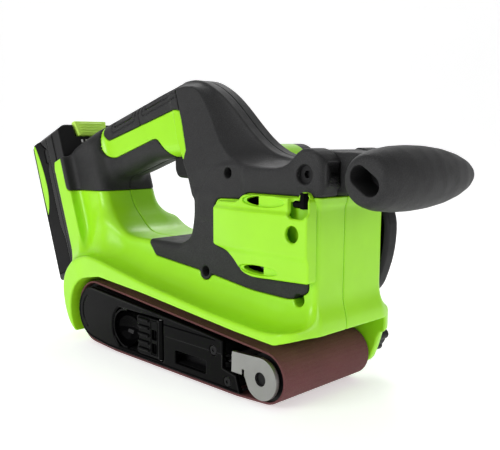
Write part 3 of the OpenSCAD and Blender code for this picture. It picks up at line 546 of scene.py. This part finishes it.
def build_shell():
    """The two green halves, and the soft hood, palm grip and finger grips moulded over them."""
    g = Grid((-146, -48, 2), (114, 48, 191))
    skin = outer(g)
    solid = openings(g, skin)
    core = skin + SKIN_DEPTH
    hood_side = outline(HOOD_REGION, g.x, g.z)
    x, z = VISIBLE_SCREWS[0]
    hood_side = blend(hood_side, np.hypot(g.x - x, g.z - z) - BOSS_RADIUS, 2)
    palm_side = outline(PALM_REGION, g.x, g.z)
    finger_side = outline(FINGER_REGION, g.x, g.z)

    hood_field = corner(solid - HOOD_PROUD, hood_side + GROOVE, 0.8)
    palm_field = corner(solid - PALM_PROUD, palm_side + GROOVE, 0.7)
    palm_field = groove_palm(g, np.maximum(palm_field, GROOVE - core))
    finger_field = corner(solid - FINGER_PROUD, finger_side + GROOVE, 0.7)
    finger_field = np.maximum(finger_field, GROOVE - core)
    green = cut(solid, hood_side, 0.5)
    green = cut(green, np.maximum(palm_side, -core), 0.4)
    green = cut(green, np.maximum(finger_side, -core), 0.4)
    for side, sign in (("right", 1.0), ("left", -1.0)):
        half = sign * g.y + SEAM
        piece(f"{side}_shell", g, corner(green, half, 0.5), "chassis", GREEN,
              [f"{side}_housing"])
        piece(f"{side}_hood", g, corner(hood_field, sign * g.y + SOFT_SEAM, 0.12),
              "chassis", CHARCOAL, [f"front_overmold_{side}"])
        piece(f"{side}_underside_grip", g, corner(finger_field, half, 0.5), "chassis",
              CHARCOAL, [f"finger_grip_{side}"])
    piece("top_grip", g, palm_field, "chassis", CHARCOAL, ["palm_grip"])


def groove_palm(g, field):
    """Two panels of nested fine grooves over the flanks and top of the rear grip."""
    inset_along, inset_up, half_width, depth = 3.4, 3.2, 0.42, 0.7
    c, s = math.cos(GRIP_TILT), math.sin(GRIP_TILT)
    along = (g.x + 100) * c + (g.z - 153) * s
    up = -(g.x + 100) * s + (g.z - 153) * c
    wrap = up + np.maximum(14 - np.abs(g.y), 0) * 0.9
    marks = np.abs(along - 42) - 0.5
    for start, end, count in ((7, 38, 2), (46, 92, 3)):
        for i in range(count):
            low = (start + inset_along * i, -3.4 + inset_up * i)
            ring = np.abs(pad(along, wrap, low, (end - inset_along * i, 30), 2.2)) - half_width
            marks = np.minimum(marks, ring)
    return np.maximum(field, -np.maximum(marks, -field - depth))


def build_motor_cover():
    """The bulged cover over the motor, stepped in bands, with a lens-shaped vent in each step."""
    wall, vent_depth = 2.4, 1.6
    g = Grid((28, -35.5, 64), (113, -22, 124), FINE_VOXEL)
    side = outline(MOTOR_COVER, g.x, g.z)
    sweep = np.clip((g.x - 31) / 44, 0, 1)
    curve = 1 - (1 - sweep) ** 2
    upper = np.clip((g.z - 106.6) / 2.6, 0, 1)
    lower = np.clip((86.2 - g.z) / 5.0, 0, 1)
    band = 1 - smooth(upper) - smooth(lower)
    edge_rise, band_rise, bulge = 2.6, 1.5, 4.3
    rise = edge_rise + band_rise * band + bulge * curve
    front = -(g.y - BLOCK_NEAR) - rise
    shell = corner(side, front, 1.3)
    shell = np.maximum(shell, g.y - (BLOCK_NEAR - 0.1))
    inner = np.maximum(side + wall, front + wall)
    for x, z, long, tall, through in ((75, 113.4, 16.5, 3.2, 71), (71, 74.1, 15.5, 2.7, 75)):
        lens = (np.hypot((g.x - x) / long, (g.z - z) / tall) - 1) * tall
        shell = cut(shell, np.maximum(lens, -vent_depth - front), 0.3)
        slot = np.maximum(lens + 0.5, g.x - through)
        shell = np.maximum(shell, -np.maximum(slot, g.y + 24))
    screw_recess = rod(g, 98.5, 97, 4.6, -50, -28.5)
    key_pocket = box(g.x, g.y, g.z, (94.6, -50, 105.6), (108.2, -27.6, 130), 3.5)
    shell = cut(cut(shell, screw_recess, 1.0), key_pocket, 1.2)
    shell = np.maximum(shell, -np.maximum(inner, g.y + 24.2))
    key_loop = np.abs(np.hypot(g.x - 104.8, g.z - 115.8) - 3.7) - 0.4
    key_loop = np.maximum(np.maximum(key_loop, 115 - g.z), span(g.y, -29.2, -26.2))
    shell = np.minimum(shell, key_loop)
    piece("motor_cover_shell", g, shell, "chassis", GREEN, ["motor_cover"])


def build_belt_cover():
    """The dark cover over the toothed belt, with a grooved panel; its rim stands further in
    where it meets the motor block."""
    near, face, wall, rim_width, groove_half, groove_depth = 37.4, 51, 2.4, 9, 0.9, 0.8
    g = Grid((-110, 35.5, 0), (116, 54, 122), FINE_VOXEL)
    side = outline(COVER, g.x, g.z)
    shell = corner(side, span(g.y, near, face), 4.0)
    panel = np.abs(side + rim_width) - groove_half
    shell = cut(shell, np.maximum(panel, face - groove_depth - g.y), 0.5)
    inside = np.maximum(side + wall, span(g.y, 30, face - wall))
    shell = np.maximum(shell, -inside)
    for x, z in COVER_SCREWS:
        shell = cut(shell, rod(g, x, z, 2.9, face - 1, 60), 0.4)
        shell = np.maximum(shell, -rod(g, x, z, 2.0, 30, 60))
    over_block = np.maximum(48 - g.x, 56 - g.z)
    shell = np.maximum(shell, np.minimum(span(g.y, 39.3, 60), over_block))
    piece("belt_cover_shell", g, shell, "chassis", DARK, ["belt_cover"])


def build_front_handle():
    """The hinged grip: a long egg on an arm that turns about the bracket's bolt."""
    gx, gz = HINGE[0] + 48, HINGE[1] - 1
    near_end, far_end = -40, 61.4
    g = Grid((88, -43, 108), (171, 65, 148), FINE_VOXEL)
    r = np.hypot(g.x - gx, g.z - gz)
    ys = np.array([near_end, -38.6, -36, -30, -18, -5, 9, 24, 37, 48, 55.5, 60, 61.5])
    rs = np.array([9.5, 11.9, 13.3, 14.9, 16.3, 16.7, 16.3, 14.9, 12.6, 9.6, 6.4, 3.2, 0.0])
    radius = np.interp(g.y.ravel(), ys, rs, left=0, right=0)
    for _ in range(6):
        radius = np.convolve(np.pad(radius, 1, "edge"), (0.25, 0.5, 0.25), "valid")
    radius = radius.reshape(1, -1, 1)
    egg = np.maximum((r - radius) * 0.85, span(g.y, near_end, far_end))
    egg = np.maximum(egg, corner((r - radius) * 0.9, near_end - g.y, 1.5))
    arm_side = outline(rounded([
        (HINGE[0], 117.6, 0), (HINGE[0], 141.2, 0), (126, 141, 8), (146, 137, 4), (146, 119, 4),
        (126, 117.6, 6)]), g.x, g.z)
    arm = corner(arm_side, span(g.y, -10.8, 21), 2.5)
    barrel = rod(g, *HINGE, 12.4, BARREL_NEAR, BARREL_FAR, 1.0)
    shape = blend(blend(egg, arm, 7), barrel, 3)
    beside_lugs = span(g.y, BARREL_NEAR, BARREL_FAR) - np.clip((g.x - 116) * 3, 0, 90)
    shape = np.maximum(shape, beside_lugs)
    shape = np.maximum(shape, -rod(g, *HINGE, 3.05, -30, 40))
    a = math.radians(35)
    u = (g.x - gx) * math.cos(a) - (g.z - gz) * math.sin(a)
    v = (g.x - gx) * math.sin(a) + (g.z - gz) * math.cos(a)
    pill = np.hypot(np.maximum(np.abs(u) - 4, 0), v) - 5
    shape = cut(shape, np.maximum(pill, g.y + 22), 1.6)
    piece("front_grip", g, shape, "front_handle", CHARCOAL, ["front_handle"])


def build_trigger():
    """The trigger, which turns about a pin at its front top corner."""
    g = Grid((-34, -9, 119), (-5, 9, 149), FINE_VOXEL)
    side = outline(rounded([
        (-31.5, 127, 2.5), (-28.5, 122, 3), (-12, 121.5, 4), (-9, 130, 4), (-7, 146.5, 2),
        (-19, 147, 2), (-28, 143, 3), (-31.5, 137, 3)]), g.x, g.z)
    shape = corner(side, span(g.y, -TRIGGER_HALF, TRIGGER_HALF), 2.4)
    shape = np.maximum(shape, -rod(g, *TRIGGER_PIN, 1.6, -10, 10))
    piece("trigger_shell", g, shape, "trigger", BLACK, ["trigger"])


def build_side_cover():
    """The glossy plate over the open side of the belt loop."""
    g = Grid((-107, -42.5, 1), (72, -25, 44), FINE_VOXEL)
    points = arc(*DRUM, 18.6, 95, 262, 20) + [
        (-66, 3), (68, 3), (64.5, 13.5), (53.5, 15.5), (53.5, 31.5), (33, 33.6)]
    side = outline(points, g.x, g.z)
    face, back, rim_face, rim_width = -40.6, -38.2, -41, 1.1
    plate = corner(side, span(g.y, face, back), 0.5)
    rim = np.maximum(np.maximum(side, -rim_width - side), span(g.y, rim_face, -38.3))
    ridge = np.maximum(span(g.x, -2, 53), span(g.z, 23.5, 30.4))
    plate = np.minimum(plate, rim)
    ridge = np.maximum(np.maximum(ridge, side + 1), span(g.y, rim_face, -39))
    plate = blend(plate, ridge, 0.6)
    bx, bz = -45, 19.5
    scoop = np.minimum(np.hypot(g.x - bx, g.z - bz) - 15.5,
                       pad(g.x, g.z, (bx, 6), (-3.6, 33), 1.0))
    scoop = np.maximum(scoop, span(g.z, 6, 33))
    plate = cut(plate, scoop, 1.6)
    wide, tall, deep = 15.2, 13.2, 11.0
    bowl = (np.sqrt(((g.x - bx) / wide) ** 2 + ((g.z - bz) / tall) ** 2
                    + ((g.y + 39) / deep) ** 2) - 1) * deep
    bowl = np.maximum(np.maximum(np.abs(bowl) - 0.6, -39.6 - g.y), g.x + 44)
    plate = np.minimum(plate, bowl)
    plate = cut(plate, pad(g.x, g.z, (9, 8), (38, 16), 0.6), 0.6)
    turn = np.degrees(np.arctan2(g.z - DRUM[1], g.x - DRUM[0])) % 360
    mark_start, mark_end = 118, 238
    mark = np.abs(np.hypot(g.x - DRUM[0], g.z - DRUM[1]) - 13.2) - 0.7
    mark = np.maximum(mark, np.maximum(mark_start - turn, turn - mark_end) * 0.2)
    plate = cut(plate, np.maximum(mark, g.y - face - 0.5), 0.3)
    for x, z in PLATE_SCREWS:
        plate = cut(plate, rod(g, x, z, 3.1, -50, -38.9), 0.3)
        plate = np.maximum(plate, -rod(g, x, z, 2.1, -50, -36))
    piece("side_plate", g, plate, "chassis", GLOSS, ["side_cover"], 0.5)


def build_lever():
    """The waisted release lever, with four grip ridges and two rows of slots."""
    pin_x, pin_y = -6.3, -39.6
    low, high = 6.4, 32.6
    g = Grid((-34, -44, 4), (-2, -36, 35), LEVER_VOXEL)
    waist = 1.3 * np.cos((g.z - 19.5) / 13.1 * math.pi) + 1.3
    outer_edge = -31 + np.clip(waist, 0, 3)
    blade = np.maximum(corner(outer_edge - g.x, span(g.z, low, high), 3), g.x - pin_x)
    shape = corner(blade, span(g.y, -41.2, -38.4), 0.6)
    from_pin = np.hypot(g.x - pin_x, g.y - pin_y)
    shape = np.minimum(shape, corner(from_pin - 2.2, span(g.z, low, high), 0.4))
    for i in range(5):
        z = 9.4 + i * 5.0
        bar = box(g.x, g.y, g.z, (-28.5, -42.4, z), (-17, -40.5, z + 1.9), 0.5)
        shape = blend(shape, bar, 0.6)
    for z in (9.5, 18.5):
        slot = box(g.x, g.y, g.z, (-14.4, -50, z), (-9.4, -39, z + 6.4), 0.6)
        shape = cut(shape, slot, 0.3)
    slot_rim = np.abs(pad(g.x, g.z, (-15.4, 8.2), (-8.4, 30.8), 0.8)) - 0.35
    shape = np.minimum(shape, np.maximum(slot_rim, span(g.y, -41.7, -40)))
    shape = np.maximum(shape, 1.15 - from_pin)
    piece("belt_release_lever", g, shape, "lever", GLOSS, ["release_lever"], 0.5)


BLADE = rounded([
    (2.2, 112, 1), (4.2, 112.4, 2), (6.2, 107, 4), (8.8, 95, 6), (10.3, 84, 6), (10.7, 74, 6),
    (9.4, 65.5, 4), (6.4, 58.5, 3), (2.8, 53.5, 1), (2.2, 70, 4)])
INLAY = rounded([
    (2.0, 113, 2), (14, 113, 5), (17, 108, 3), (22.6, 103, 2), (22.6, 93, 2), (18.6, 88, 3),
    (18.6, 40, 4), (22, 30, 4), (22, 5, 3), (2.0, 5, 2)])
PACK_END = rounded([
    (0, 0, 3), (0, 112.5, 6), (6, 116, 5), (62, 116, 0), (62, 0, 0)])


def build_battery():
    """The sliding pack: a case, glossy side inlays with a plain blade, a rail side and a latch."""
    half = PACK_HALF
    g = Grid((-196, -33, 30), (-96, 33, 166), PACK_VOXEL)
    u, w = g.pack()
    y = g.y
    across = abs(y)
    end = outline(PACK_END, u, w)
    whole = corner(end, across - half, 2.2)
    whole = corner(whole, (w - 116) * 0.8 + (across - half + 6) * 0.6, 1.5)
    case = corner(whole, u - PACK_CASE, 0.5)
    case = np.maximum(case, -box(u, y, w, (3, -27, 3), (40, 27, 107)))
    inlay = outline(INLAY, u, w)
    case = cut(case, np.maximum(inlay, half - 0.9 - across), 0.3)
    side_groove, rib_pitch = 24.4, 3.0
    case = cut(case, np.maximum(np.abs(u - side_groove) - 0.4, half - 0.6 - across), 0.2)
    ribs = np.abs((w + 0.5 * across) % rib_pitch - rib_pitch / 2) - 0.7
    case = cut(case, np.maximum(np.maximum(ribs, u - 0.5), np.abs(w - 58) - 50), 0.2)
    piece("battery_body", g, case, "battery", PACK_BLACK, ["battery_case"])
    panel = np.maximum(inlay + 0.35, span(across, half - 2.2, half - 0.35))
    pocket = np.hypot(np.maximum(np.abs(w - 98) - 3.5, 0), u - 19.4) - 2.0
    panel = cut(panel, np.maximum(pocket, half - 1.4 - across), 0.3)
    blade = outline(BLADE, u, w)
    seat = cut(panel, np.maximum(blade, half - 0.8 - across), 0.1)
    piece("battery_side_panels", g, seat, "battery", GLOSS)
    label = np.maximum(blade + 0.15, span(across, half - 1.6, half - 0.25))
    piece("battery_side_blade", g, label, "battery", GREEN)
    lid = corner(whole, PACK_CASE + 0.1 - u, 0.4)
    lid = corner(lid, u - PACK_DEPTH, 1.0)
    lid = np.maximum(lid, across - (half - 0.6))
    lid = np.maximum(lid, -box(u, y, w, (30, -27, 3), (41, 27, 102)))
    lid = cut(lid, box(u, y, w, (37, -15.4, 106), (60, 15.4, 130)), 0.4)
    blade_slots = [(v, 1.2, -5, 60) for v in (-10, 0, 10)]
    lamp_windows = [(v, 0.8, 101, 103.4) for v in (-10, -6, -2, 2)]
    for v, reach, low, high in blade_slots + lamp_windows:
        lid = np.maximum(lid, -box(u, y, w, (40, v - reach, low), (46, v + reach, high)))
    button_hole = np.hypot(y - 11, w - 102.2) - 2.7
    lid = np.maximum(lid, -np.maximum(button_hole, 40 - u))
    piece("battery_rail_side", g, lid, "battery", PACK_BLACK, ["battery_lid"])
    latch = box(u, y, w, (40.6, -15, 106.3), (45.6, 15, 118.4), 1.0)
    taper = (across - (15 - (118.5 - w) * 0.22)) * 0.95
    latch = corner(latch, taper, 0.8)
    rib_gap, rib_width = 2.4, 1.1
    for i in range(4):
        start = 108.2 + i * rib_gap
        bar = box(u, y, w, (44, -10.5, start), (46.2, 10.5, start + rib_width), 0.5)
        latch = np.minimum(latch, bar)
    piece("battery_latch_button", g, latch, "latch", LATCH, ["battery_latch"])


# ---------- floor, light and camera, in metres and watts ----------

FLOOR_GLOW, WORLD_LIGHT = 0.48, 0.24
SUN_POWER, SUN_SPREAD, SUN_FROM = 0.4, math.radians(60), (0.35, -0.8, 1.3)
LIGHT_TARGET = (-0.02, 0, 0.09)
AREA_LIGHTS = [
    ("key", (-0.15, -1.05, 0.42), (0.6, 0.35), 5.6),
    ("front", (1.05, 0.05, 0.30), (0.35, 0.5), 2.4),
    ("rim", (-0.5, 0.5, 0.9), (0.5, 0.5), 3.5),
]
CAMERA_PLACE = (0.343, -0.306, 0.146)
YAW, PITCH = math.radians(135.2), math.radians(6.8)
LENS, SENSOR = 50, 36


def area_light(name, place, target, size, power):
    data = bpy.data.lights.new(name, "AREA")
    data.shape = "RECTANGLE"
    data.size, data.size_y = size
    data.energy = power
    obj = bpy.data.objects.new(name, data)
    bpy.context.scene.collection.objects.link(obj)
    obj.location = place
    obj.rotation_euler = (Vector(target) - Vector(place)).to_track_quat("-Z", "Y").to_euler()


def build_stage():
    """A pale floor that sweeps up behind the object, under soft studio light."""
    reach, rise, bend, drop, start, front_edge = 5.0, 3.0, 1.2, -0.0006, 1.0, -1.2
    profile = [(front_edge, drop)]
    profile += [(start + bend * math.sin(a), drop + bend * (1 - math.cos(a)))
                for a in np.linspace(0, math.pi / 2, 17)]
    profile.append((start + bend, rise))
    turn = math.radians(45.2)
    away = Vector((-math.sin(turn), math.sin(turn), 0))
    across = Vector((away.y, -away.x, 0))
    verts, faces = [], []
    for d, h in profile:
        for side in (-reach, reach):
            verts.append(away * d + across * side + Vector((0, 0, h)))
    for i in range(len(profile) - 1):
        faces.append((2 * i, 2 * i + 1, 2 * i + 3, 2 * i + 2))
    mesh = bpy.data.meshes.new("backdrop")
    mesh.from_pydata([tuple(v) for v in verts], [], faces)
    mesh.polygons.foreach_set("use_smooth", np.ones(len(mesh.polygons), bool))
    floor = bpy.data.objects.new("backdrop", mesh)
    bpy.context.scene.collection.objects.link(floor)
    pale = surface("pale_floor", (0.90, 0.90, 0.90), 0.8, grain=300, depth=0.02, tint=0.01,
                   specular=0.1)
    glow = pale.node_tree.nodes["Principled BSDF"].inputs
    glow["Emission Color"].default_value = (1, 1, 1, 1)
    glow["Emission Strength"].default_value = FLOOR_GLOW
    mesh.materials.append(pale)
    world = bpy.data.worlds.new("studio")
    world.use_nodes = True
    background = world.node_tree.nodes["Background"]
    background.inputs[0].default_value = (1, 1, 1, 1)
    background.inputs[1].default_value = WORLD_LIGHT
    bpy.context.scene.world = world
    bpy.context.scene.view_settings.view_transform = "Standard"
    sun = bpy.data.lights.new("fill", "SUN")
    sun.energy, sun.angle = SUN_POWER, SUN_SPREAD
    fill = bpy.data.objects.new("fill", sun)
    bpy.context.scene.collection.objects.link(fill)
    fill.rotation_euler = (-Vector(SUN_FROM)).to_track_quat("-Z", "Y").to_euler()
    for name, place, size, power in AREA_LIGHTS:
        area_light(name, place, LIGHT_TARGET, size, power)


def build_camera():
    """The camera, at the photo's angle and with its lens."""
    look = Vector((math.cos(PITCH) * math.cos(YAW), math.cos(PITCH) * math.sin(YAW),
                   -math.sin(PITCH)))
    data = bpy.data.cameras.new("camera")
    data.lens, data.sensor_width = LENS, SENSOR
    data.clip_start = 0.01
    camera = bpy.data.objects.new("camera", data)
    bpy.context.scene.collection.objects.link(camera)
    camera.location = CAMERA_PLACE
    camera.rotation_euler = look.to_track_quat("-Z", "Y").to_euler()
    bpy.context.scene.camera = camera


build_camera()
build_stage()
dress_nodes()
build_shell()
build_motor_cover()
build_belt_cover()
build_front_handle()
build_trigger()
build_side_cover()
build_lever()
build_battery()
